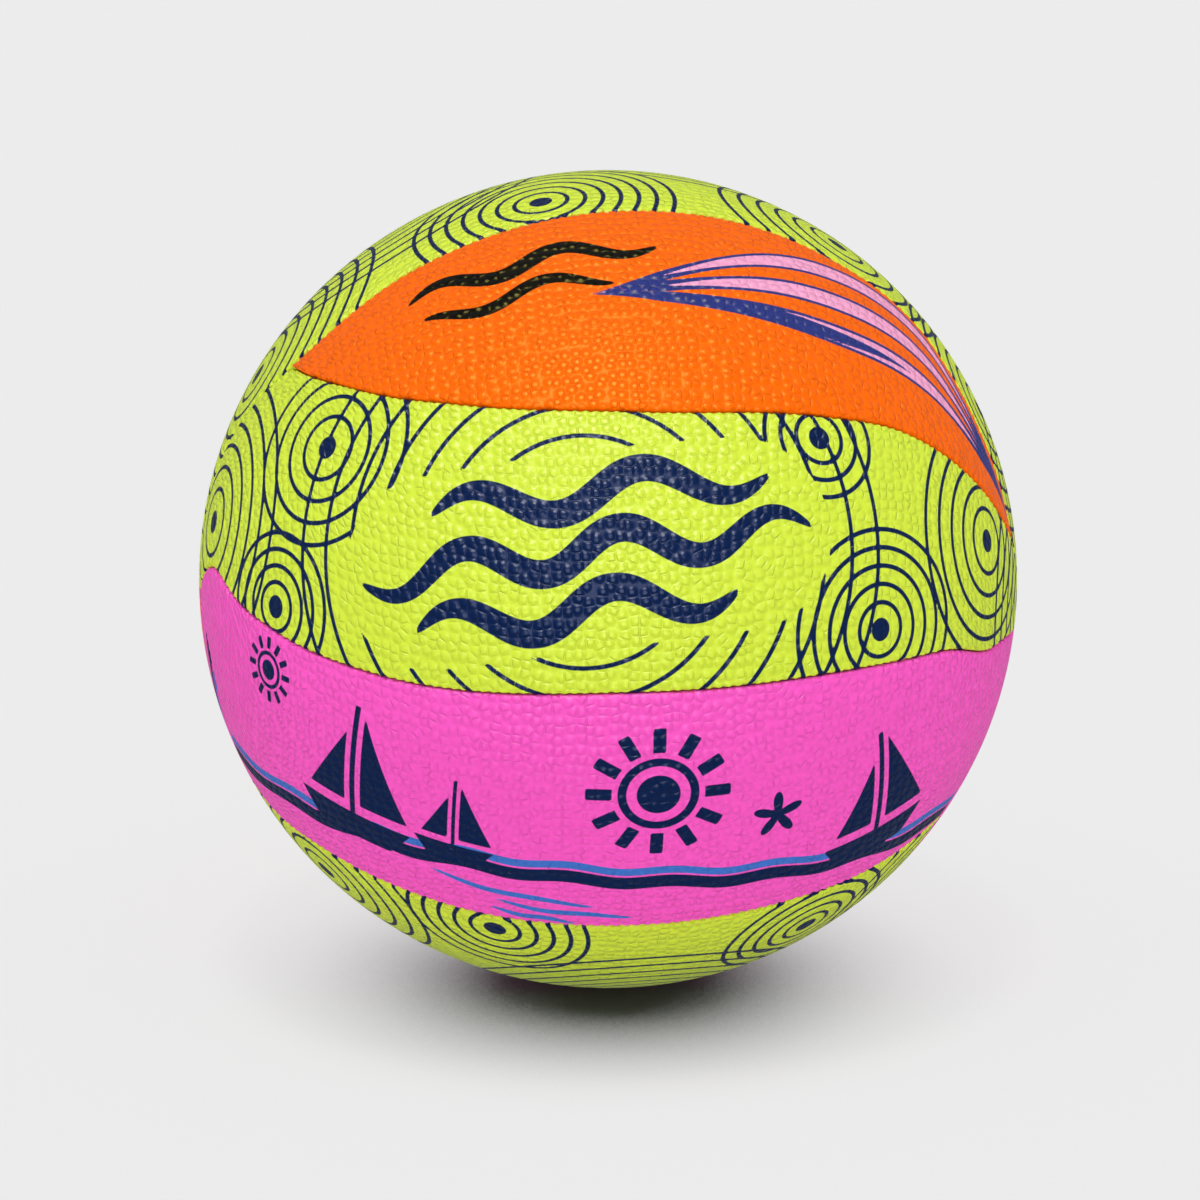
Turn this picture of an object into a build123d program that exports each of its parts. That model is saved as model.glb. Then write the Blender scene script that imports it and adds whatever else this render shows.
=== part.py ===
"""Nine-panel sewn volleyball: covers, foam pads, linings, stitching, bladder and valve.

Millimetres, ball centre at the origin, +Z up, valve on +Y. Panels run from pole to pole along X.
"""

import os
from math import acos, ceil, cos, degrees, exp, log, pi, radians, sin

from build123d import *

# Ball and the layers of one panel, from the outside in
CIRCUMFERENCE = 670.0
SKIN = 1.2
FOAM = 2.0
LINING = 0.5
BOND = 0.2
BLADDER_WALL = 1.0

# Seam: open gap between two covers, rolled edge, turned-in edge and stitching
SEAM_GAP = 0.5
EDGE_ROLL = 0.9
THREAD = 0.6
THREAD_PLAY = 0.15
THREAD_DEPTH = 2.3
FLANGE_OVER = 0.3
TIP_WIDTH = 0.6

# Valve on +Y
STEM_R = 4.5
STEM_PLAY = 0.2
STEM_LENGTH = 24.0
STEM_BELOW = 0.5
BASE_R = 13.0
BASE_THICK = 1.5
PATCH_R = 16.0
PATCH_THICK = 0.3
PLUG_R = 3.0
PLUG_PLAY = 0.05
PLUG_HEAD_R = 3.7
PLUG_HEAD = 1.2
PLUG_LENGTH = 20.0
NEEDLE_R = 1.1
NEEDLE_DEPTH = 12.0
NEEDLE_LEAD = 0.6

# Seams as (angle along X, angle about X from -Y towards +Z), one group of three panels per turn
GROUPS = {"upper": 0.0, "back": 120.0, "lower": 240.0}
GROUP_TURN = 120.0
GROUP_SEAM = (
    (-90, 45), (-80, 36), (-70, 14), (-60, 6), (-40, 1), (0, 1),
    (40, 0.6), (50, -1), (60, -7), (70, -13), (80, -30), (90, -45),
)
UPPER_THROUGH = (
    (-90, 105), (-76, 97), (-63.5, 84), (-51.5, 75.5), (-30, 76.4), (0, 78.4), (30, 79),
    (48, 77), (54, 71.5), (60, 64), (68, 51), (75, 30), (82, 18), (90, 15),
)
UPPER_EDGE = (
    (-51.5, 75.5), (-49, 68), (-40, 54.2), (-25, 44.4), (0, 39.6),
    (25, 40.8), (42, 42.2), (60, 38.7), (70, 33.5), (75, 30),
)
LOWER_THROUGH = (
    (-90, 105), (-80, 75), (-72, 54), (-64, 41), (-50, 38), (-25, 39.5), (0, 40.5), (25, 42),
    (38, 49.5), (45, 57.5), (51, 65), (62, 64), (76, 45), (90, 15),
)
LOWER_EDGE = (
    (-64, 41), (-60, 49), (-50, 65.6), (-40, 72.7), (-20, 78.4), (0, 80.6),
    (20, 79.6), (30, 77), (40, 73.3), (46, 70), (51, 65),
)
CORNER = 1.5
STATION_STEP = 3.0
FAN = 12
SPARE = 1.0

RADIUS = CIRCUMFERENCE / (2 * pi)
FOAM_R = RADIUS - SKIN - BOND
LINING_R = FOAM_R - FOAM - BOND
LINING_IN = LINING_R - LINING
FLANGE_IN = LINING_IN - FLANGE_OVER
BLADDER_R = FLANGE_IN - BOND
BLADDER_IN = BLADDER_R - BLADDER_WALL
FLANGE_INSET = SEAM_GAP / 2 + SKIN
THREAD_INSET = FLANGE_INSET + THREAD_PLAY
PAD_INSET = THREAD_INSET + THREAD + THREAD_PLAY
STEM_TOP = RADIUS - STEM_BELOW
HOLE_R = STEM_R + STEM_PLAY
VALVE_KEY = "back", "lens"


def seam_angle(seam, along):
    """Angle about X of a seam: a smooth curve through its points, straight past its ends."""
    slopes = [(b[1] - a[1]) / (b[0] - a[0]) for a, b in zip(seam, seam[1:])]
    if along <= seam[0][0]:
        return seam[0][1] + slopes[0] * (along - seam[0][0])
    if along >= seam[-1][0]:
        return seam[-1][1] + slopes[-1] * (along - seam[-1][0])
    i = max(k for k, spot in enumerate(seam[:-1]) if spot[0] <= along)
    (x0, y0), (x1, y1) = seam[i], seam[i + 1]
    before = (slopes[max(i - 1, 0)] + slopes[i]) / 2
    after = (slopes[i] + slopes[min(i + 1, len(slopes) - 1)]) / 2
    span = x1 - x0
    t = (along - x0) / span
    start = (1 + 2 * t) * (1 - t) ** 2 * y0 + t * (1 - t) ** 2 * span * before
    end = t * t * (3 - 2 * t) * y1 + t * t * (t - 1) * span * after
    return start + end


def blend(a, b, sign):
    """The larger (sign 1) or smaller (sign -1) of two angles, with a rounded corner."""
    near = exp(-abs(a - b) / CORNER)
    return (max(a, b) if sign > 0 else min(a, b)) + sign * CORNER * log(1 + near)


def panel_edges():
    """For each panel: its lower and upper seam as functions of the angle along X, and its ends and corners."""

    def curve(seam, turn):
        return lambda along: seam_angle(seam, along) + turn

    def corner(one, two, sign):
        return lambda along: blend(one(along), two(along), sign)

    panels = {}
    for group, turn in GROUPS.items():
        low, high = curve(GROUP_SEAM, turn), curve(GROUP_SEAM, turn + GROUP_TURN)
        seams = (LOWER_THROUGH, LOWER_EDGE) if group == "lower" else (UPPER_THROUGH, UPPER_EDGE)
        through, edge = (curve(seam, turn) for seam in seams)
        tips = seams[1][0][0], seams[1][-1][0]
        whole = GROUP_SEAM[0][0], *tips, GROUP_SEAM[-1][0]
        if group == "lower":
            panels[group, "under"] = low, through, whole
            panels[group, "lens"] = through, edge, tips
            panels[group, "over"] = corner(through, edge, 1), high, whole
        else:
            panels[group, "under"] = low, corner(through, edge, -1), whole
            panels[group, "lens"] = edge, through, tips
            panels[group, "over"] = through, high, whole
    return panels


def on_ball(along, about):
    """Unit vector at the two seam angles."""
    a, b = radians(along), radians(about)
    return Vector(sin(a), -cos(a) * cos(b), cos(a) * sin(b))


def inset_angles(panel, along, inset):
    """A panel's lower and upper angle about X, clear of its seams by a distance in every direction."""
    low, high, _ = panel
    ring = RADIUS * cos(radians(along))
    turns = [pi / 2 * i / FAN for i in range(-FAN, FAN + 1)]
    clear = []
    for edge, sign, pick in ((low, 1, max), (high, -1, min)):
        spots = [along + degrees(inset * sin(turn) / RADIUS) for turn in turns]
        reach = [sign * inset * cos(turn) / ring for turn in turns]
        clear.append(pick(radians(edge(spot)) + far for spot, far in zip(spots, reach)))
    return clear


def inset_width(panel, along, inset):
    low, high = inset_angles(panel, along, inset)
    return (high - low) * RADIUS * cos(radians(along))


def inset_ends(panel, inset, width):
    """Where a panel, moved in from its seams, gets as narrow as width."""
    first, *_, last = panel[2]
    middle = (first + last) / 2
    ends = []
    for outer in (first, last):
        inner = middle
        for _ in range(40):
            half = (outer + inner) / 2
            if inset_width(panel, half, inset) < width:
                outer = half
            else:
                inner = half
        ends.append(inner)
    return ends


def stations(breaks):
    """Angles along X, closer together towards a panel's ends and corners."""
    spots = list(breaks[:1])
    for start, end in zip(breaks, breaks[1:]):
        count = ceil((end - start) / STATION_STEP)
        spots += [start + (end - start) * (1 - cos(pi * i / count)) / 2 for i in range(1, count + 1)]
    return spots


def section(panel, along, inset, outline):
    """Closed outline across a panel, in a plane through the ball's centre."""
    low, high = inset_angles(panel, along, inset)
    a, b = (on_ball(along, angle * 180 / pi) for angle in (low, high))
    sweep = acos(a.dot(b))
    side = (b - a * cos(sweep)).normalized()

    def spot(radius, angle):
        return (a * cos(angle) + side * sin(angle)) * radius

    corners = outline(sweep)
    edges = []
    for (r0, t0), (r1, t1) in zip(corners, corners[1:] + corners[:1]):
        if r0 == r1:
            edges.append(Edge.make_three_point_arc(spot(r0, t0), spot(r0, (t0 + t1) / 2), spot(r1, t1)))
        else:
            edges.append(Edge.make_line(spot(r0, t0), spot(r1, t1)))
    return Wire(edges)


def strip(panel, inset, outline, tip=TIP_WIDTH):
    """Solid along a whole panel from outlines at its stations; tip is its width at both ends."""
    first, last = inset_ends(panel, inset, tip)
    breaks = first, *panel[2][1:-1], last
    return Solid.make_loft([section(panel, along, inset, outline) for along in stations(breaks)])


def layer(outer, inner):
    """Outline of a plain layer between two radii."""
    return lambda sweep: [(inner, 0), (outer, 0), (outer, sweep), (inner, sweep)]


def rolled(sweep):
    """Outline of a cover before its pocket, with both outer edges rolled off."""
    roll = min(EDGE_ROLL, RADIUS * sweep / 4)
    turn = roll / RADIUS
    top = [(RADIUS - roll, 0), (RADIUS, turn), (RADIUS, sweep - turn), (RADIUS - roll, sweep)]
    return [(FLANGE_IN, 0)] + top + [(FLANGE_IN, sweep)]


def strand(upper):
    """Outline of one thread beside the lower or upper seam of a panel."""
    outer = RADIUS - THREAD_DEPTH
    wide = THREAD / outer

    def outline(sweep):
        start = sweep - wide if upper else 0
        return [(outer - THREAD, start), (outer, start), (outer, start + wide), (outer - THREAD, start + wide)]

    return outline


def make_cover(panel):
    """Cover with its edges turned in at the seams."""
    pocket = strip(panel, FLANGE_INSET, layer(RADIUS - SKIN, FLANGE_IN - SPARE))
    return strip(panel, SEAM_GAP / 2, rolled) - pocket


def along_y(radius, start, end):
    """Cylinder on the valve axis."""
    rod = Cylinder(radius, end - start, align=(Align.CENTER, Align.CENTER, Align.MIN))
    return Pos(0, start, 0) * Rot(-90, 0, 0) * rod


def valve_hole():
    return along_y(HOLE_R, 0, RADIUS + SPARE)


def make_bladder():
    return Sphere(BLADDER_R) - Sphere(BLADDER_IN) - valve_hole()


def make_valve_patch():
    """Disc that backs the lining round the valve hole."""
    disc = along_y(PATCH_R, 0, RADIUS) - valve_hole()
    top = LINING_IN - BOND / 2
    return disc & (Sphere(top) - Sphere(top - PATCH_THICK))


def make_valve_housing():
    """Rubber stem with a base bonded inside the bladder and a counterbored mouth."""
    top = BLADDER_IN - BOND / 2
    base = along_y(BASE_R, 0, RADIUS) & (Sphere(top) - Sphere(top - BASE_THICK))
    stem = along_y(STEM_R, STEM_TOP - STEM_LENGTH, STEM_TOP)
    bore = along_y(PLUG_R + PLUG_PLAY, STEM_TOP - PLUG_LENGTH - PLUG_PLAY, STEM_TOP)
    mouth = along_y(PLUG_HEAD_R + PLUG_PLAY, STEM_TOP - PLUG_HEAD - PLUG_PLAY, STEM_TOP)
    return base + stem - bore - mouth


def make_valve_plug():
    """Plug that pulls out of the housing, with a tapered bore mouth for the pump needle."""
    plug = along_y(PLUG_R, STEM_TOP - PLUG_LENGTH, STEM_TOP)
    plug = plug + along_y(PLUG_HEAD_R, STEM_TOP - PLUG_HEAD, STEM_TOP)
    plug = plug - along_y(NEEDLE_R, STEM_TOP - NEEDLE_DEPTH, STEM_TOP)
    lead = Cone(NEEDLE_R, NEEDLE_R + NEEDLE_LEAD, NEEDLE_LEAD, align=(Align.CENTER, Align.CENTER, Align.MAX))
    return plug - Pos(0, STEM_TOP, 0) * Rot(-90, 0, 0) * lead


def build_parts():
    parts = {}
    for key, panel in panel_edges().items():
        name = "_".join(key)
        layers = {
            "cover": make_cover(panel),
            "foam": strip(panel, PAD_INSET, layer(FOAM_R, FOAM_R - FOAM)),
            "lining": strip(panel, PAD_INSET, layer(LINING_R, LINING_IN)),
        }
        for kind, piece in layers.items():
            parts[f"{kind}_{name}"] = piece - valve_hole() if key == VALVE_KEY else piece
        rows = [strip(panel, THREAD_INSET, strand(upper), 3 * THREAD) for upper in (False, True)]
        parts[f"stitching_{name}"] = Compound(rows)
    parts["bladder"] = make_bladder()
    parts["valve_patch"] = make_valve_patch()
    parts["valve_housing"] = make_valve_housing()
    parts["valve_plug"] = make_valve_plug()
    return parts


os.makedirs("parts", exist_ok=True)
for name, piece in build_parts().items():
    export_step(piece, f"parts/{name}.step")
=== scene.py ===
import bpy
import numpy as np
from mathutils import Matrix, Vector


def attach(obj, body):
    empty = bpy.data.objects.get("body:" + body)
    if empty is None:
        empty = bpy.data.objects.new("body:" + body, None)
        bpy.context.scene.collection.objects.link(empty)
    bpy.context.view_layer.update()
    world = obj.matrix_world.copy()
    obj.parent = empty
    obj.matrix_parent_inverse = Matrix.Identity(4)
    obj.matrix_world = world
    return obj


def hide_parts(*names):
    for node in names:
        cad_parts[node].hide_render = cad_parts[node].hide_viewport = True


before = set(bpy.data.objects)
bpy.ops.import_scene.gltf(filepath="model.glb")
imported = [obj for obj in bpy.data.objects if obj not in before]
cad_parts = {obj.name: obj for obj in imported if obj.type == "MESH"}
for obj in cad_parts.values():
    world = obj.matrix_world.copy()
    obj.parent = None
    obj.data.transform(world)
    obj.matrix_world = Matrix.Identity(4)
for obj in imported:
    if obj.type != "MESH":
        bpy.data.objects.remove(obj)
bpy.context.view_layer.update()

# Covers, in millimetres: seams, rolled and puckered edges, embossed grain, mesh step and valve hole
MM_PER_M = 1000
CIRCUMFERENCE = 670
RADIUS = CIRCUMFERENCE / (2 * np.pi)
SEAM_GAP, SKIN, FLANGE = 0.3, 1.2, 3.2
FOLD_WIDE, FOLD_DEEP = 0.2, 0.6
ROLL, PUCKER, STITCH = 1.0, 0.45, 2.6
PEBBLE, PEBBLE_HIGH, GROOVE = 2.7, 0.48, 0.4
STEP, TIP, MOST_PACE = 0.62, 0.7, 5.0
VALVE_HOLE, DRILL_LONG, DRILL_SIDES = 4.7, 20, 64

# Covers, as shares and counts: how far a wall and a roll go into a narrow tip, points and samples
WALL_SHARE, ROLL_SHARE = 0.7, 0.8
ROLL_POINTS, INNER_COLUMNS = 7, 10
ROW_SAMPLES, SEAM_SAMPLES = 20001, 4001

# Seams in degrees, as in the CAD: (angle along X, angle about X from -Y towards +Z)
GROUPS = {"upper": 0.0, "back": 120.0, "lower": 240.0}
GROUP_TURN = 120.0
CORNER = 1.5
GROUP_SEAM = (
    (-90, 45), (-80, 36), (-70, 14), (-60, 6), (-40, 1), (0, 1),
    (40, 0.6), (50, -1), (60, -7), (70, -13), (80, -30), (90, -45),
)
UPPER_THROUGH = (
    (-90, 105), (-76, 97), (-63.5, 84), (-51.5, 75.5), (-30, 76.4), (0, 78.4), (30, 79),
    (48, 77), (54, 71.5), (60, 64), (68, 51), (75, 30), (82, 18), (90, 15),
)
UPPER_EDGE = (
    (-51.5, 75.5), (-49, 68), (-40, 54.2), (-25, 44.4), (0, 39.6),
    (25, 40.8), (42, 42.2), (60, 38.7), (70, 33.5), (75, 30),
)
LOWER_THROUGH = (
    (-90, 105), (-80, 75), (-72, 54), (-64, 41), (-50, 38), (-25, 39.5), (0, 40.5), (25, 42),
    (38, 49.5), (45, 57.5), (51, 65), (62, 64), (76, 45), (90, 15),
)
LOWER_EDGE = (
    (-64, 41), (-60, 49), (-50, 65.6), (-40, 72.7), (-20, 78.4), (0, 80.6),
    (20, 79.6), (30, 77), (40, 73.3), (46, 70), (51, 65),
)

# Colours
YELLOW, ORANGE, PINK = (0.61, 0.765, 0.045), (0.94, 0.13, 0.001), (0.92, 0.092, 0.53)
NAVY, BLUE, BLACK = (0.0, 0.012, 0.068), (0.045, 0.16, 0.56), (0.002, 0.002, 0.003)
ROSE, INDIGO = (0.86, 0.35, 0.57), (0.022, 0.036, 0.21)
SHEEN, ORANGE_SHEEN = (1.0, 1.0, 1.0), (1.0, 0.85, 0.16)
COLOURS = {
    "upper_under": "yellow", "upper_lens": "orange", "upper_over": "yellow",
    "back_under": "orange", "back_lens": "pink", "back_over": "orange",
    "lower_under": "pink", "lower_lens": "yellow", "lower_over": "pink",
}

# Print, in millimetres and degrees
RING_LINE, DOT = 1.2, 3.0
RINGS = {
    "upper_under": [(-58, 12, 4.2, 5), (-9, 20.5, 8.4, 10), (34, 7, 4.6, 6), (25, 37, 4.4, 4),
                    (-46, 45, 5.6, 5), (60, 24, 5.6, 6), (-76, 60, 5.8, 7), (79, -8, 5.6, 6)],
    "upper_over": [(-10, 84, 4.6, 8), (-58, 97, 5.2, 9), (34, 90, 5.2, 7), (64, 78, 5.0, 7),
                   (-30, 110, 5.4, 8), (12, 112, 5.0, 7), (80, 70, 5.0, 6)],
    "lower_lens": [(-20, 315, 4.4, 6), (25, 307, 4.2, 6), (2, 289, 5.4, 8), (-46, 296, 5.0, 7),
                   (44, 294, 4.8, 6)],
}
FIELD, FIELD_TILT, FIELD_SIZE = (-9, 20.5), 5, (130, 50, 24)
WAVE_HIGH, WAVE_THICK = 4.6, 7.4
WAVES = ((6, 14.5, 88, 2), (0, 0, 120, 3), (-4, -14.5, 84, 2))
RIBBON, FAN_MIDDLE, RIBBON_LINE = 0.116, 0.14, 0.5
BLADE, BLADE_PACE, BLADE_END = 2.4, 1.6, 0.62
SEA_AXIS, SEA_ANGLE, SHORE = np.array([0.06, -0.085, 0.995]), -24.0, 12
CREST_HIGH, CREST_LONG = 0.7, 27
BLUE_STRIPE, NAVY_STRIPE = (3.2, 2.6), (-0.9, 4.4)
INK_EDGE = 0.09
FAR = 99.0

# Surfaces: pebbles as shares of a cell, roughness on and between them, and shine
CELL_RANDOM, GROOVE_FLOOR = 0.62, 0.4
DOME, DOME_FOOT = (0.12, 0.66), 0.15
SMOOTH, ROUGH, SHINE = 0.3, 0.38, 0.12
INNER_SHINE, INNER_BUMP = 0.3, 0.0003

# Floor: its tone, and the ball's close shadow painted in from occlusion as the camera sees it
FLOOR, BACKGROUND = 0.84, 0.825
SHADOW_REACH, SHADOW_FULL, SHADOW_RISE, SHADOW_BEND, SHADOW_SHARE = 0.06, 0.12, 76, 3.7, 0.9

# Camera: place in degrees and ball radii, and where the ball lies in the frame
R = RADIUS / MM_PER_M
AZIMUTH, ELEVATION, DISTANCE = -6.0, 16.5, 20 * R
BALL_PX, FRAME_PX, CENTRE_PX = 409.0, 1200.0, (608.1, 579.0)
SENSOR = 36

# Lamps: degrees right of the camera, up and across, strength, and whether it shows only as sheen
LAMPS = {
    "top": (0, 67, 60, 0.6, False),
    "key": (-14, 79, 10, 1.1, False),
    "fill": (0, 6, 30, 1.1, False),
    "left": (-90, 20, 90, 1.0, False),
    "right": (90, 20, 90, 1.0, False),
    "back": (180, 20, 90, 0.8, False),
    "shine": (-14, 70, 34, 9.0, True),
    "sheen": (0, 12, 40, 3.4, True),
}
WORLD_LIGHT = 0.25

# Pieces inside: colour, roughness, grain scale and contrast
LOOKS = {
    "foam": ((0.75, 0.75, 0.72), 0.9, 900, 0.12),
    "lining": ((0.7, 0.68, 0.62), 0.95, 1500, 0.2),
    "stitching": ((0.05, 0.06, 0.12), 0.7, 1200, 0.3),
    "bladder": ((0.02, 0.02, 0.02), 0.6, 300, 0.15),
    "valve_patch": ((0.7, 0.68, 0.62), 0.95, 1500, 0.2),
    "valve_housing": ((0.03, 0.03, 0.035), 0.55, 700, 0.2),
    "valve_plug": ((0.06, 0.06, 0.065), 0.45, 700, 0.2),
}


def seam_angle(seam, along):
    """Angle about X of a seam at each angle along X, as the CAD has it."""
    spots = np.array(seam, float)
    x, y = spots[:, 0], spots[:, 1]
    slopes = np.diff(y) / np.diff(x)
    i = np.clip(np.searchsorted(x, along, side="right") - 1, 0, len(x) - 2)
    before = (slopes[np.maximum(i - 1, 0)] + slopes[i]) / 2
    after = (slopes[i] + slopes[np.minimum(i + 1, len(slopes) - 1)]) / 2
    span = x[i + 1] - x[i]
    t = (along - x[i]) / span
    start = (1 + 2 * t) * (1 - t) ** 2 * y[i] + t * (1 - t) ** 2 * span * before
    end = t * t * (3 - 2 * t) * y[i + 1] + t * t * (t - 1) * span * after
    low = y[0] + slopes[0] * (along - x[0])
    high = y[-1] + slopes[-1] * (along - x[-1])
    return np.where(along <= x[0], low, np.where(along >= x[-1], high, start + end))


def blend(a, b, sign):
    """The larger (sign 1) or smaller (sign -1) of two angles, with a rounded corner."""
    near = np.exp(-np.abs(a - b) / CORNER)
    return (np.maximum(a, b) if sign > 0 else np.minimum(a, b)) + sign * CORNER * np.log1p(near)


def panel_edges():
    """Lower and upper seam of each panel as functions of the angle along X, and its two ends."""

    def curve(seam, turn):
        return lambda along: seam_angle(seam, along) + turn

    def corner(one, two, sign):
        return lambda along: blend(one(along), two(along), sign)

    panels = {}
    for group, turn in GROUPS.items():
        low, high = curve(GROUP_SEAM, turn), curve(GROUP_SEAM, turn + GROUP_TURN)
        seams = (LOWER_THROUGH, LOWER_EDGE) if group == "lower" else (UPPER_THROUGH, UPPER_EDGE)
        through, edge = (curve(seam, turn) for seam in seams)
        tips = seams[1][0][0], seams[1][-1][0]
        whole = GROUP_SEAM[0][0], GROUP_SEAM[-1][0]
        if group == "lower":
            panels[f"{group}_under"] = low, through, whole
            panels[f"{group}_lens"] = through, edge, tips
            panels[f"{group}_over"] = corner(through, edge, 1), high, whole
        else:
            panels[f"{group}_under"] = low, corner(through, edge, -1), whole
            panels[f"{group}_lens"] = edge, through, tips
            panels[f"{group}_over"] = through, high, whole
    return panels


def on_ball(along, about):
    """Unit vectors at the two seam angles."""
    a, b = np.broadcast_arrays(np.radians(along), np.radians(about))
    return np.stack([np.sin(a), -np.cos(a) * np.cos(b), np.cos(a) * np.sin(b)], axis=-1)


def lean_of(edge, along):
    """How much longer a seam is than its run along X, at each angle."""
    step = 0.05
    rise = (edge(along + step) - edge(along - step)) / (2 * step)
    return np.hypot(1, np.cos(np.radians(along)) * rise)


def panel_rows(panel):
    """Angles along X of a panel's rows, closer together where a seam is steep."""
    low, high, (first, last) = panel
    fine = np.linspace(first, last, ROW_SAMPLES)[1:-1]
    ring = RADIUS * np.cos(np.radians(fine))
    leans = lean_of(low, fine), lean_of(high, fine)
    inside = np.radians(high(fine) - low(fine)) * ring - SEAM_GAP / 2 * sum(leans) > TIP
    fine, pace = fine[inside], np.minimum(np.maximum(*leans), MOST_PACE)[inside]
    run = np.concatenate([[0], np.cumsum(pace[1:] * np.radians(np.diff(fine)) * RADIUS)])
    return np.interp(np.linspace(0, run[-1], int(run[-1] / STEP)), run, fine)


def seam_run(edge, along):
    """Distance along a seam at each row, in millimetres, from its middle."""
    fine = np.linspace(-90, 90, SEAM_SAMPLES)
    spots = on_ball(fine, edge(fine)) * RADIUS
    run = np.concatenate([[0], np.cumsum(np.linalg.norm(np.diff(spots, axis=0), axis=1))])
    return np.interp(along, fine, run - np.interp(0, fine, run))


def panel_grid(panel):
    """Angles and depths of a cover: an outer sheet with both edges rolled in, and its inner side."""
    low, high, _ = panel
    along = panel_rows(panel)
    ring = RADIUS * np.cos(np.radians(along))
    edges = {"low": (low, 1), "high": (high, -1)}
    lean = {key: lean_of(edge, along) for key, (edge, _) in edges.items()}
    wide = np.radians(high(along) - low(along)) * ring - SEAM_GAP / 2 * (lean["low"] + lean["high"])
    half = wide / (lean["low"] + lean["high"])
    turns = np.radians(np.linspace(0, 90, ROLL_POINTS))

    def rim(key, inner):
        """Distance in from the seam and depth at each row, from the bottom of the turned-in edge up."""
        if inner:
            wall = np.minimum(SKIN, WALL_SHARE * half)
            fold = wall + FOLD_WIDE * np.minimum(1, half)
            steps = [(wall, FLANGE), (wall, SKIN + FOLD_DEEP), (fold, SKIN)]
            return [(inset, np.full_like(along, depth)) for inset, depth in steps]
        roll = ROLL + PUCKER * np.cos(2 * np.pi * seam_run(edges[key][0], along) / STITCH)
        roll = np.minimum(roll, ROLL_SHARE * half)
        steps = [(np.zeros_like(along), np.full_like(along, FLANGE))]
        return steps + [(roll * (1 - np.cos(a)), roll * (1 - np.sin(a))) for a in turns]

    def side(inner, columns):
        """Angles about X and depths of one side, in rows along X, with so many points between its rims."""
        about, depth = [], []
        for key, (edge, sign) in edges.items():
            steps = rim(key, inner)[::sign]
            insets = [(SEAM_GAP / 2 + inset) * lean[key] / ring for inset, _ in steps]
            about.append([edge(along) + sign * np.degrees(inset) for inset in insets])
            depth.append([d for _, d in steps])
        start, end = about[0][-1], about[1][0]
        shares = np.linspace(0, 1, columns + 2)[1:-1]
        middle = [start + (end - start) * share for share in shares]
        flat = [np.full_like(along, SKIN if inner else 0.0)] * columns
        return np.array(about[0] + middle + about[1]).T, np.array(depth[0] + flat + depth[1]).T

    return along, side(False, int(np.max(wide) / STEP)), side(True, INNER_COLUMNS)


def mesh_object(name, points, quads, caps):
    """A smooth mesh from points in millimetres, four-cornered faces and two end faces."""
    mesh = bpy.data.meshes.new(name)
    mesh.vertices.add(len(points))
    mesh.vertices.foreach_set("co", (points / MM_PER_M).astype(np.float32).ravel())
    loops = np.concatenate([quads.ravel(), *caps])
    sizes = np.array([4] * len(quads) + [len(cap) for cap in caps])
    mesh.loops.add(len(loops))
    mesh.loops.foreach_set("vertex_index", loops.astype(np.int32))
    mesh.polygons.add(len(sizes))
    starts = np.concatenate([[0], np.cumsum(sizes)[:-1]])
    mesh.polygons.foreach_set("loop_start", starts.astype(np.int32))
    mesh.polygons.foreach_set("use_smooth", np.ones(len(sizes), bool))
    mesh.update(calc_edges=True)
    mesh.validate()
    obj = bpy.data.objects.new(name, mesh)
    bpy.context.scene.collection.objects.link(obj)
    return obj


def store(obj, name, values):
    """Keep one number for each vertex of a mesh."""
    layer = obj.data.attributes.new(name, "FLOAT", "POINT")
    layer.data.foreach_set("value", np.asarray(values, np.float32))


def spread_of(panel, angles):
    """Millimetres along and across a panel from its middle, as if it lay flat."""
    along, about = angles
    middle = (panel[0](along) + panel[1](along)) / 2
    return RADIUS * np.radians(along), RADIUS * np.cos(np.radians(along)) * np.radians(about - middle)


def build_cover(name, panel):
    """Cover mesh with rolled and turned-in edges."""
    along, (about, depth), (about_in, depth_in) = panel_grid(panel)
    rows, columns = about.shape
    outside = on_ball(along[:, None], about) * (RADIUS - depth)[..., None]
    inside = on_ball(along[:, None], about_in) * (RADIUS - depth_in)[..., None]
    ids = np.arange(rows * columns).reshape(rows, columns)
    ids_in = rows * columns + np.arange(about_in.size).reshape(about_in.shape)
    loop = np.concatenate([ids, ids_in[:, ::-1]], axis=1)
    after = np.roll(loop, -1, axis=1)
    quads = np.stack([loop[:-1], loop[1:], after[1:], after[:-1]], axis=-1).reshape(-1, 4)
    points = np.concatenate([outside.reshape(-1, 3), inside.reshape(-1, 3)])
    return mesh_object(f"skin_{name}", points, quads, [loop[0], loop[-1][::-1]])


def cut_valve_hole(obj):
    """Round hole through a cover on the valve axis."""
    bpy.ops.mesh.primitive_cylinder_add(
        vertices=DRILL_SIDES, radius=VALVE_HOLE / MM_PER_M, depth=DRILL_LONG / MM_PER_M,
        location=(0, R, 0), rotation=(np.pi / 2, 0, 0),
    )
    drill = bpy.context.object
    cut = obj.modifiers.new("valve_hole", "BOOLEAN")
    cut.operation, cut.solver, cut.object = "DIFFERENCE", "EXACT", drill
    done = bpy.data.meshes.new_from_object(obj.evaluated_get(bpy.context.evaluated_depsgraph_get()))
    obj.modifiers.clear()
    obj.data = done
    bpy.data.objects.remove(drill)


def vertex_angles(obj, panel):
    """The two seam angles of each vertex of a cover."""
    spots = np.empty(len(obj.data.vertices) * 3)
    obj.data.vertices.foreach_get("co", spots)
    x, y, z = spots.reshape(-1, 3).T
    along = np.degrees(np.arctan2(x, np.hypot(y, z)))
    low = panel[0](along)
    return along, low + (np.degrees(np.arctan2(z, -y)) - low + 90) % 360 - 90


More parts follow.
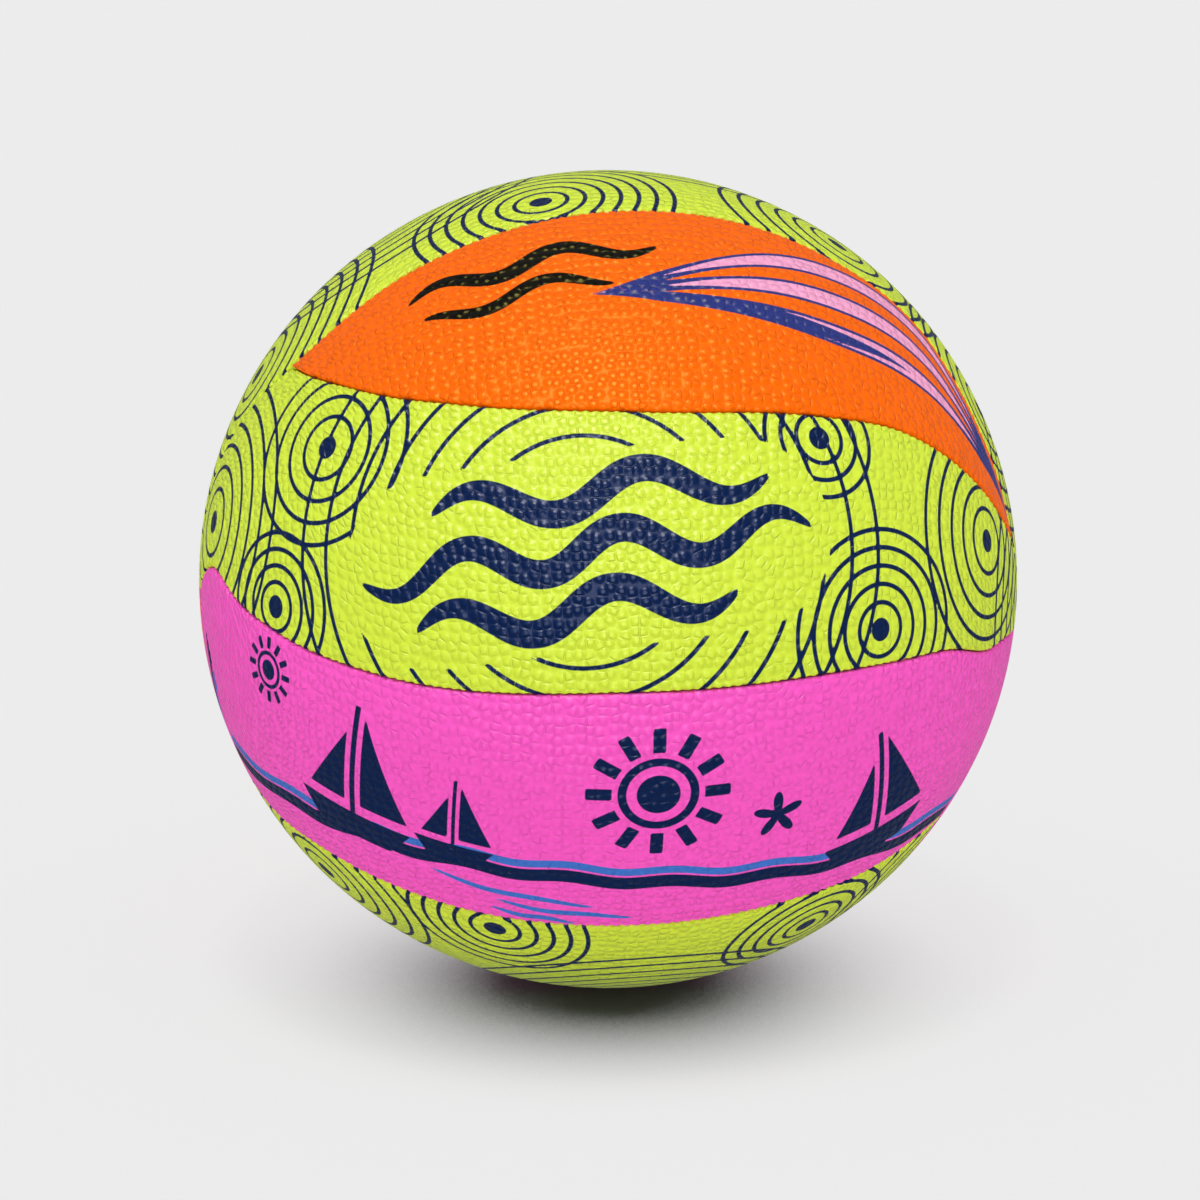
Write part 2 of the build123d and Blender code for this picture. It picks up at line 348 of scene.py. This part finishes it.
def chart(angles, along, about, tilt=0.0):
    """Millimetres right and up from a point on the ball, over its surface, on axes turned by tilt."""
    n, c = on_ball(*angles), on_ball(along, about)
    a, b, t = np.radians([along, about, tilt])
    right = np.array([np.cos(a), np.sin(a) * np.cos(b), -np.sin(a) * np.sin(b)])
    up = np.array([0, np.sin(b), np.cos(b)])
    x, y = n @ (right * np.cos(t) + up * np.sin(t)), n @ (up * np.cos(t) - right * np.sin(t))
    scale = RADIUS * np.arccos(np.clip(n @ c, -1, 1)) / np.maximum(np.hypot(x, y), 1e-9)
    return x * scale, y * scale


def ripples(angles, centres):
    """Distance to sets of even rings, each round a dot, with its own spacing and count."""
    n, ink = on_ball(*angles), FAR
    for along, about, spacing, count in centres:
        far = RADIUS * np.arccos(np.clip(n @ on_ball(along, about), -1, 1))
        ring = np.abs(far % spacing - spacing / 2) - RING_LINE / 2
        ring = np.where(far < spacing * count, ring, FAR)
        ink = np.minimum(ink, np.where(far < spacing, far - DOT, ring))
    return ink


def wave_stroke(x, y, length, high, waves, thick):
    """Distance to a wave line that thins out at both ends."""
    k = 2 * np.pi * waves / length
    lean = np.hypot(1, high * k * np.cos(k * x))
    taper = thick / 2 * np.sqrt(np.clip(1 - (2 * x / length) ** 2, 0, 1))
    return np.where(np.abs(x) < length / 2, np.abs(y - high * np.sin(k * x)) / lean - taper, FAR)


def rounded_box(x, y, width, height, radius):
    """Distance to a box with rounded corners."""
    over_x, over_y = np.abs(x) - width / 2 + radius, np.abs(y) - height / 2 + radius
    return np.hypot(np.maximum(over_x, 0), np.maximum(over_y, 0)) - radius


def polygon(x, y, corners):
    """Distance to a convex shape given by its corners, anticlockwise."""
    ends = np.array(corners, float)
    out = np.full_like(x, -FAR)
    for (x0, y0), (x1, y1) in zip(ends, np.roll(ends, -1, axis=0)):
        size = np.hypot(x1 - x0, y1 - y0)
        out = np.maximum(out, ((y1 - y0) * (x - x0) - (x1 - x0) * (y - y0)) / size)
    return out


def sailboat(x, y, size):
    """Hull, mast and two sails, size millimetres high."""
    x, y = x / size, y / size
    hull = polygon(x, y, [(-0.28, -0.5), (0.26, -0.5), (0.42, -0.3), (-0.42, -0.3)])
    mast = polygon(x, y, [(-0.02, -0.3), (0.02, -0.3), (0.02, 0.5), (-0.02, 0.5)])
    main = polygon(x, y, [(0.06, -0.22), (0.4, -0.22), (0.06, 0.45)])
    jib = polygon(x, y, [(-0.34, -0.22), (-0.06, -0.22), (-0.06, 0.3)])
    return np.minimum.reduce([hull, mast, main, jib]) * size


def sunburst(x, y, size, rays=12):
    """Disc in a ring with straight rays."""
    far, turn = np.hypot(x, y), np.arctan2(y, x)
    sector = np.pi * 2 / rays
    off = np.abs((turn + sector / 2) % sector - sector / 2) * far
    ray = np.maximum(off - size * 0.045, np.abs(far - size * 0.41) - size * 0.09)
    ring = np.abs(far - size * 0.25) - size * 0.03
    return np.minimum(ray, np.minimum(ring, far - size * 0.15))


def starfish(x, y, size, arms=5):
    """Rounded star."""
    far, turn = np.hypot(x, y), np.arctan2(x, y)
    return far - size / 2 * (0.62 + 0.38 * np.cos(arms * turn))


def band(v, middle, thick):
    """Distance to a stripe."""
    return np.abs(v - middle) - thick / 2


def yellow_ink(name, angles):
    """Navy rings, with three bold waves in a clear field on the panel that faces the camera."""
    rings = ripples(angles, RINGS[name])
    if name != "upper_under":
        return {"navy": rings}
    x, y = chart(angles, *FIELD, tilt=FIELD_TILT)
    field = rounded_box(x, y, *FIELD_SIZE)
    waves = [wave_stroke(x - dx, y - dy, long, WAVE_HIGH, turns, WAVE_THICK)
             for dx, dy, long, turns in WAVES]
    return {"navy": np.minimum(np.maximum(rings, -field), np.minimum.reduce(waves))}


def ribbons(name, angles, first, last):
    """Distances to a fan of ribbons from point to point, and to their edge lines and a blade below."""
    along, about = angles
    low, high = PANELS[name][0](along), PANELS[name][1](along)
    share = (about - low) / np.maximum(high - low, 1e-6)
    wide = np.radians(high - low) * RADIUS * np.cos(np.radians(along))
    way = np.clip((along - first) / (last - first), 0, 1)
    swell = np.sin(np.pi * way ** 1.3)
    half = RIBBON / 2 * wide * swell
    edge = np.minimum(half, np.maximum(RIBBON_LINE, 1.2 - 0.35 * half))
    outside = np.where(way * (1 - way) > 0, -FAR, FAR)
    rose, indigo = FAR, FAR
    for i in range(-2, 3):
        off = np.abs(share - 0.5 - (FAN_MIDDLE + RIBBON * i) * swell) * wide
        indigo = np.minimum(indigo, np.maximum(np.abs(off - half) - edge, outside))
        if i % 2 == 0:
            rose = np.minimum(rose, np.maximum(off - half, outside))
    thick = BLADE * np.sin(np.pi * np.clip(way * BLADE_PACE, 0, 1))
    blade = np.abs(share - 0.5 + 0.1 * swell) * wide - thick
    return rose, np.minimum(indigo, np.where((way > 0) & (way < BLADE_END), blade, FAR))


def orange_ink(name, angles):
    """Ribbons edged in indigo towards one end, and two black waves on the panel in front."""
    rose, indigo = ribbons(name, angles, *((-6, 74) if name == "upper_lens" else (0, 80)))
    black = np.full_like(rose, FAR)
    if name == "upper_lens":
        x, y = chart(angles, -13, 65, tilt=3)
        lines = wave_stroke(x, y - 5, 66, 3.0, 2, 5.4), wave_stroke(x + 5, y + 6, 50, 2.6, 1.5, 4.2)
        black = np.minimum(*lines)
    return {"rose": rose, "indigo": indigo, "black": black}


def pink_ink(name, angles):
    """Sea stripes, with boats, suns and starfish above them."""
    along, about = angles
    turn = 180 if name == "back_lens" else 0
    if name == "lower_over":
        axis = SEA_AXIS / np.linalg.norm(SEA_AXIS)
        up = RADIUS * (np.arcsin(np.clip(on_ball(*angles) @ axis, -1, 1)) - np.radians(SEA_ANGLE))
    else:
        shore = PANELS[name][1 if turn else 0](along)
        up = RADIUS * np.cos(np.radians(along)) * np.radians(np.abs(about - shore)) - SHORE
    crest = CREST_HIGH * np.sin(2 * np.pi * RADIUS * np.radians(along) / CREST_LONG)
    blue, navy = (band(up - crest, *stripe) for stripe in (BLUE_STRIPE, NAVY_STRIPE))
    marks = {
        "lower_over": [(sailboat, -43, -21, 42), (sailboat, -27, -22.5, 26), (sunburst, 1, -14, 37),
                       (starfish, 18, -20, 14), (sailboat, 35, -24, 40), (sunburst, -60, -6, 18)],
        "lower_under": [(sunburst, -30, 262, 30), (sailboat, 2, 262, 32), (starfish, 25, 262, 15)],
        "back_lens": [(sunburst, -26, 181, 26), (sailboat, 28, 181, 28), (starfish, 48, 176, 12)],
    }[name]
    for draw, a, b, size in marks:
        navy = np.minimum(navy, draw(*chart(angles, a, b, turn), size))
    if name == "lower_over":
        x, y = chart(angles, -14, -36)
        for dx, dy, long in ((-8, 2.4, 44), (6, -1.6, 36), (-2, -5.4, 22)):
            blue = np.minimum(blue, wave_stroke(x - dx, y - dy, long, 0.4, 1.5, 2.0))
    return {"navy": navy, "blue": blue}


def shader(name, roughness, specular):
    """A new material, its node tree and its surface node."""
    mat = bpy.data.materials.new(name)
    mat.use_nodes = True
    surface = mat.node_tree.nodes["Principled BSDF"]
    surface.inputs["Roughness"].default_value = roughness
    surface.inputs["Specular IOR Level"].default_value = specular
    return mat, mat.node_tree, surface


def ramp(tree, source, start, end, low, high, kind="LINEAR"):
    """A value that goes from low to high as the source goes from start to end."""
    node = tree.nodes.new("ShaderNodeMapRange")
    node.interpolation_type = kind
    for socket, value in (("From Min", start), ("From Max", end), ("To Min", low), ("To Max", high)):
        node.inputs[socket].default_value = value
    tree.links.new(source, node.inputs["Value"])
    return node.outputs["Result"]


def attribute(tree, name):
    """A number kept for each vertex, read in a material."""
    node = tree.nodes.new("ShaderNodeAttribute")
    node.attribute_name = name
    return node.outputs["Fac"]


def pebbles(tree):
    """Height of the embossed grain: 0 in the grooves, 1 on top of each rounded pebble."""
    flat = tree.nodes.new("ShaderNodeCombineXYZ")
    tree.links.new(attribute(tree, "flat_u"), flat.inputs["X"])
    tree.links.new(attribute(tree, "flat_v"), flat.inputs["Y"])
    far = {}
    for feature in ("DISTANCE_TO_EDGE", "F1"):
        cells = tree.nodes.new("ShaderNodeTexVoronoi")
        cells.voronoi_dimensions, cells.feature = "2D", feature
        cells.inputs["Scale"].default_value = 1 / PEBBLE
        cells.inputs["Randomness"].default_value = CELL_RANDOM
        tree.links.new(flat.outputs["Vector"], cells.inputs["Vector"])
        far[feature] = cells.outputs["Distance"]
    rise = ramp(tree, far["DISTANCE_TO_EDGE"], 0.0, GROOVE / PEBBLE, GROOVE_FLOOR, 1.0, "SMOOTHSTEP")
    dome = ramp(tree, far["F1"], *DOME, 1.0, DOME_FOOT, "SMOOTHSTEP")
    both = tree.nodes.new("ShaderNodeMath")
    both.operation = "MULTIPLY"
    tree.links.new(rise, both.inputs[0])
    tree.links.new(dome, both.inputs[1])
    return both.outputs["Value"]


def cover_material(name, base, sheen, inks):
    """Synthetic leather in one colour: printed inks from vertex distances, and embossed pebbles."""
    mat, tree, surface = shader(name, SMOOTH, SHINE)
    surface.inputs["Specular Tint"].default_value = (*sheen, 1)
    last = None
    for ink, tone in inks:
        mix = tree.nodes.new("ShaderNodeMix")
        mix.data_type = "RGBA"
        mix.inputs["B"].default_value = (*tone, 1)
        cover = ramp(tree, attribute(tree, f"ink_{ink}"), -INK_EDGE, INK_EDGE, 1.0, 0.0)
        tree.links.new(cover, mix.inputs["Factor"])
        if last:
            tree.links.new(last, mix.inputs["A"])
        else:
            mix.inputs["A"].default_value = (*base, 1)
        last = mix.outputs["Result"]
    height = pebbles(tree)
    tree.links.new(last, surface.inputs["Base Color"])
    tree.links.new(ramp(tree, height, 0.1, 0.8, ROUGH, SMOOTH), surface.inputs["Roughness"])
    bump = tree.nodes.new("ShaderNodeBump")
    bump.inputs["Distance"].default_value = PEBBLE_HIGH / MM_PER_M
    tree.links.new(height, bump.inputs["Height"])
    tree.links.new(bump.outputs["Normal"], surface.inputs["Normal"])
    return mat


def grained_material(name, base, roughness, scale, contrast):
    """Matt material whose tone and surface vary with fine noise."""
    mat, tree, surface = shader(name, roughness, INNER_SHINE)
    noise = tree.nodes.new("ShaderNodeTexNoise")
    noise.inputs["Scale"].default_value = scale
    place = tree.nodes.new("ShaderNodeTexCoord")
    tree.links.new(place.outputs["Object"], noise.inputs["Vector"])
    mix = tree.nodes.new("ShaderNodeMix")
    mix.data_type = "RGBA"
    mix.inputs["A"].default_value = (*(c * (1 - contrast) for c in base), 1)
    mix.inputs["B"].default_value = (*(min(c * (1 + contrast), 1) for c in base), 1)
    tree.links.new(noise.outputs["Fac"], mix.inputs["Factor"])
    tree.links.new(mix.outputs["Result"], surface.inputs["Base Color"])
    bump = tree.nodes.new("ShaderNodeBump")
    bump.inputs["Strength"].default_value = contrast
    bump.inputs["Distance"].default_value = INNER_BUMP
    tree.links.new(noise.outputs["Fac"], bump.inputs["Height"])
    tree.links.new(bump.outputs["Normal"], surface.inputs["Normal"])
    return mat


def towards(azimuth, elevation):
    """Direction from the ball to a lamp or the camera; azimuth 0 is -Y."""
    a, e = np.radians([azimuth, elevation])
    return Vector((np.sin(a) * np.cos(e), -np.cos(a) * np.cos(e), np.sin(e)))


def floor_material():
    """Pale matt floor; the camera mostly sees it as an even tone with the ball's close shadow painted in
    from occlusion.
    """
    mat, tree, surface = shader("floor", 0.9, 0.0)
    surface.inputs["Base Color"].default_value = (FLOOR, FLOOR, FLOOR, 1)
    near = tree.nodes.new("ShaderNodeAmbientOcclusion")
    near.inputs["Distance"].default_value = SHADOW_REACH
    lean = tree.nodes.new("ShaderNodeCombineXYZ")
    for axis, part in zip("XYZ", towards(AZIMUTH + 180, SHADOW_RISE)):
        lean.inputs[axis].default_value = part
    tree.links.new(lean.outputs["Vector"], near.inputs["Normal"])
    bend = tree.nodes.new("ShaderNodeMath")
    bend.operation = "POWER"
    bend.inputs[1].default_value = SHADOW_BEND
    tree.links.new(ramp(tree, near.outputs["AO"], SHADOW_FULL, 1.0, 1.0, 0.0), bend.inputs[0])
    # Painted shadow: the even background tone, darkened where occlusion finds the ball close, shown mostly
    # to camera rays
    tone = tree.nodes.new("ShaderNodeEmission")
    tree.links.new(ramp(tree, bend.outputs["Value"], 0.0, 1.0, BACKGROUND, 0.0), tone.inputs["Color"])
    path, mix = tree.nodes.new("ShaderNodeLightPath"), tree.nodes.new("ShaderNodeMixShader")
    share = ramp(tree, path.outputs["Is Camera Ray"], 0.0, 1.0, 0.0, SHADOW_SHARE)
    tree.links.new(share, mix.inputs["Fac"])
    tree.links.new(surface.outputs["BSDF"], mix.inputs[1])
    tree.links.new(tone.outputs["Emission"], mix.inputs[2])
    tree.links.new(mix.outputs["Shader"], tree.nodes["Material Output"].inputs["Surface"])
    return mat


def softbox(name, azimuth, elevation, spread, strength, gloss):
    """Far lamp that lights evenly; one for gloss shows only as a highlight."""
    data = bpy.data.lights.new(name, "SUN")
    data.angle, data.energy = np.radians(spread), strength
    obj = bpy.data.objects.new(name, data)
    obj.visible_glossy, obj.visible_diffuse = gloss, not gloss
    obj.rotation_euler = (-towards(azimuth, elevation)).to_track_quat("-Z", "Y").to_euler()
    bpy.context.scene.collection.objects.link(obj)


# Covers
PANELS = panel_edges()
INKS = {
    "yellow": (yellow_ink, YELLOW, SHEEN, (("navy", NAVY),)),
    "orange": (orange_ink, ORANGE, ORANGE_SHEEN, (("rose", ROSE), ("indigo", INDIGO), ("black", BLACK))),
    "pink": (pink_ink, PINK, SHEEN, (("blue", BLUE), ("navy", NAVY))),
}
materials = {key: cover_material(f"cover_{key}", *look) for key, (_, *look) in INKS.items()}

for name, panel in PANELS.items():
    obj, colour = build_cover(name, panel), COLOURS[name]
    if name == "back_lens":
        cut_valve_hole(obj)
    angles = vertex_angles(obj, panel)
    for ink, far in INKS[colour][0](name, angles).items():
        store(obj, f"ink_{ink}", far)
    for axis, flat in zip("uv", spread_of(panel, angles)):
        store(obj, f"flat_{axis}", flat)
    obj.data.materials.clear()
    obj.data.materials.append(materials[colour])
    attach(obj, "ball")
    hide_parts(f"cover_{name}")

# Pieces inside
looks = {name: grained_material(name, *look) for name, look in LOOKS.items()}
for name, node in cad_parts.items():
    look = looks.get(name) or looks.get(name.split("_")[0])
    if look:
        node.data.materials.clear()
        node.data.materials.append(look)

# Floor, world, lamps and camera
bpy.ops.mesh.primitive_plane_add(size=12, location=(0, 0, -R))
floor = bpy.context.object
floor.name = "floor"
floor.visible_glossy = False
floor.data.materials.append(floor_material())

world = bpy.data.worlds.new("studio")
bpy.context.scene.world = world
world.use_nodes = True
world.node_tree.nodes["Background"].inputs["Color"].default_value = (1, 1, 1, 1)
world.node_tree.nodes["Background"].inputs["Strength"].default_value = WORLD_LIGHT

for name, (turn, *lamp) in LAMPS.items():
    softbox(name, AZIMUTH + turn, *lamp)

eye = bpy.data.objects.new("camera", bpy.data.cameras.new("camera"))
eye.location = towards(AZIMUTH, ELEVATION) * DISTANCE
eye.rotation_euler = (-eye.location).to_track_quat("-Z", "Y").to_euler()
eye.data.sensor_width = SENSOR
eye.data.lens = BALL_PX / np.tan(np.arcsin(R / DISTANCE)) / FRAME_PX * SENSOR
eye.data.shift_x = (FRAME_PX / 2 - CENTRE_PX[0]) / FRAME_PX
eye.data.shift_y = (CENTRE_PX[1] - FRAME_PX / 2) / FRAME_PX
bpy.context.scene.collection.objects.link(eye)
bpy.context.scene.camera = eye
bpy.context.scene.view_settings.view_transform = "Standard"
